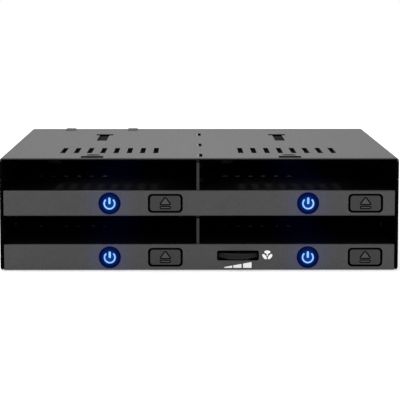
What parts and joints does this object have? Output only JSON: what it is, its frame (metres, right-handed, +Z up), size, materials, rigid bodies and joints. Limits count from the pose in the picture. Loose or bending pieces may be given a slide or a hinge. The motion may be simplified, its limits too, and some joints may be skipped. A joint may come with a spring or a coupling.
{
  "type": "hot swap drive cage",
  "caption": "Flat steel cage with open front bays for small drives, lit power buttons, eject buttons, a fan wheel and a rear fan.",
  "frame": {"origin": "centre of the four mounting holes in the underside, on the underside", "axes": "+X to the right seen from the front, across the cage; +Y to the rear; +Z up"},
  "size_m": [0.146, 0.1421, 0.0417],
  "materials": {
    "charcoal_paint": "satin textured paint",
    "bar_paint": "satin paint",
    "inner_steel": "matte paint",
    "dark_spring_steel": "satin",
    "zinc_steel": "satin zinc plate",
    "screw_black": "satin black",
    "board_green": "solder mask",
    "connector_black": "matte",
    "button_grey": "satin",
    "power_blue": "translucent, lit",
    "lever_plastic": "matte",
    "wheel_black": "satin",
    "fan_black": "satin",
    "light_clear": "clear"
  },
  "bodies": {
    "root": {"backplane_board": "board_green", "base_chassis": "charcoal_paint", "board_headers": "connector_black", "board_screws": "zinc_steel", "control_board_lower": "board_green", "control_board_upper": "board_green", "cover_screws": "screw_black", "data_ports": "connector_black", "divider_lower": "inner_steel", "divider_upper": "inner_steel", "drive_connector_1": "connector_black", "drive_connector_2": "connector_black", "drive_connector_3": "connector_black", "drive_connector_4": "connector_black", "drive_springs_lower": "dark_spring_steel", "drive_springs_upper": "dark_spring_steel", "eject_spring_1": "zinc_steel", "eject_spring_2": "zinc_steel", "eject_spring_3": "zinc_steel", "eject_spring_4": "zinc_steel", "fan_frame": "fan_black", "fan_screws": "screw_black", "frame_screws": "screw_black", "front_bar_lower": "bar_paint", "front_bar_upper": "bar_paint", "indicator_leds": "light_clear", "lever_pivots": "zinc_steel", "mid_plate": "inner_steel", "port_board": "board_green", "power_inlets": "connector_black", "power_switches": "connector_black", "rear_panel": "charcoal_paint", "shelf_lower": "inner_steel", "shelf_upper": "inner_steel", "speed_potentiometer": "connector_black", "top_cover": "charcoal_paint"},
    "power_button_1": {"power_button_1": "power_blue"},
    "ejector_1": {"eject_button_1": "button_grey", "eject_rod_1": "zinc_steel"},
    "lever_1": {"eject_lever_1": "lever_plastic"},
    "power_button_2": {"power_button_2": "power_blue"},
    "ejector_2": {"eject_button_2": "button_grey", "eject_rod_2": "zinc_steel"},
    "lever_2": {"eject_lever_2": "lever_plastic"},
    "power_button_3": {"power_button_3": "power_blue"},
    "ejector_3": {"eject_button_3": "button_grey", "eject_rod_3": "zinc_steel"},
    "lever_3": {"eject_lever_3": "lever_plastic"},
    "power_button_4": {"power_button_4": "power_blue"},
    "ejector_4": {"eject_button_4": "button_grey", "eject_rod_4": "zinc_steel"},
    "lever_4": {"eject_lever_4": "lever_plastic"},
    "speed_wheel": {"speed_wheel": "wheel_black"},
    "fan_rotor": {"fan_rotor": "fan_black"}
  },
  "joints": [
    {"name": "power_press_1", "type": "slide", "parent": "root", "child": "power_button_1", "axis": [0, 1, 0], "range_m": [0, 0.0008], "stiffness_N_per_m": 1500, "springref_m": -0.0004},
    {"name": "eject_press_1", "type": "slide", "parent": "root", "child": "ejector_1", "axis": [0, 1, 0], "range_m": [0, 0.005], "stiffness_N_per_m": 400, "springref_m": -0.003, "deforming": ["eject_spring_1"]},
    {"name": "lever_swing_1", "type": "hinge", "parent": "root", "child": "lever_1", "pos_m": [-0.03494, 0.01798, 0.02463], "axis": [0, 0, 1], "range_deg": [0, 12.8]},
    {"name": "power_press_2", "type": "slide", "parent": "root", "child": "power_button_2", "axis": [0, 1, 0], "range_m": [0, 0.0008], "stiffness_N_per_m": 1500, "springref_m": -0.0004},
    {"name": "eject_press_2", "type": "slide", "parent": "root", "child": "ejector_2", "axis": [0, 1, 0], "range_m": [0, 0.005], "stiffness_N_per_m": 400, "springref_m": -0.003, "deforming": ["eject_spring_2"]},
    {"name": "lever_swing_2", "type": "hinge", "parent": "root", "child": "lever_2", "pos_m": [0.03844, 0.01798, 0.02463], "axis": [0, 0, 1], "range_deg": [0, 12.8]},
    {"name": "power_press_3", "type": "slide", "parent": "root", "child": "power_button_3", "axis": [0, 1, 0], "range_m": [0, 0.0008], "stiffness_N_per_m": 1500, "springref_m": -0.0004},
    {"name": "eject_press_3", "type": "slide", "parent": "root", "child": "ejector_3", "axis": [0, 1, 0], "range_m": [0, 0.005], "stiffness_N_per_m": 400, "springref_m": -0.003, "deforming": ["eject_spring_3"]},
    {"name": "lever_swing_3", "type": "hinge", "parent": "root", "child": "lever_3", "pos_m": [-0.03494, 0.01798, 0.0047], "axis": [0, 0, 1], "range_deg": [0, 12.8]},
    {"name": "power_press_4", "type": "slide", "parent": "root", "child": "power_button_4", "axis": [0, 1, 0], "range_m": [0, 0.0008], "stiffness_N_per_m": 1500, "springref_m": -0.0004},
    {"name": "eject_press_4", "type": "slide", "parent": "root", "child": "ejector_4", "axis": [0, 1, 0], "range_m": [0, 0.005], "stiffness_N_per_m": 400, "springref_m": -0.003, "deforming": ["eject_spring_4"]},
    {"name": "lever_swing_4", "type": "hinge", "parent": "root", "child": "lever_4", "pos_m": [0.03844, 0.01798, 0.0047], "axis": [0, 0, 1], "range_deg": [0, 12.8]},
    {"name": "speed_turn", "type": "hinge", "parent": "root", "child": "speed_wheel", "pos_m": [0.0142, -0.08522, 0.00533], "axis": [0, 0, 1], "range_deg": [-135, 135]},
    {"name": "fan_spin", "type": "hinge", "parent": "root", "child": "fan_rotor", "pos_m": [-0.04195, 0.04018, 0.02065], "axis": [0, 1, 0], "continuous": true}
  ],
  "couplings": [
    {"joint": "lever_swing_1", "follows": "eject_press_1", "rad_per_m": 44.444},
    {"joint": "lever_swing_2", "follows": "eject_press_2", "rad_per_m": 44.444},
    {"joint": "lever_swing_3", "follows": "eject_press_3", "rad_per_m": 44.444},
    {"joint": "lever_swing_4", "follows": "eject_press_4", "rad_per_m": 44.444}
  ]
}
